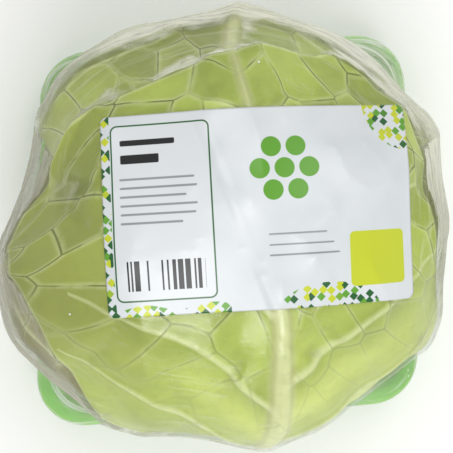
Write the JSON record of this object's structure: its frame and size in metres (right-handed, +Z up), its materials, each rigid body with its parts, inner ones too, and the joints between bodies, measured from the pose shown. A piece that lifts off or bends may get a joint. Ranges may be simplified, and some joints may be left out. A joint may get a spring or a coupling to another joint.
{
  "type": "cabbage head",
  "caption": "Green cabbage head with ribbed wrapper leaves on a square foam tray, wrapped in clear stretch film with a paper label on top",
  "frame": {"origin": "middle of the bounding box at its base, on the ground under the tray", "axes": "+Z up out of the tray; +X along the label's long side; -Y the side the outermost leaf's midrib climbs"},
  "size_m": [0.1586, 0.1556, 0.1352],
  "materials": {
    "heart_leaf": "waxy pale green inner leaf",
    "leaf": "waxy green leaf with pale veins",
    "tray_foam": "pale green foam",
    "film": "clear stretch film",
    "label_paper": "coated paper"
  },
  "bodies": {
    "root": {"heart": "heart_leaf", "wrapper_leaf_1": "leaf", "wrapper_leaf_2": "leaf", "wrapper_leaf_3": "leaf", "wrapper_leaf_4": "leaf", "wrapper_leaf_5": "leaf", "wrapper_leaf_6": "leaf", "wrapper_leaf_7": "leaf", "tray": "tray_foam", "stretch_film": "film", "label": "label_paper"}
  },
  "joints": []
}
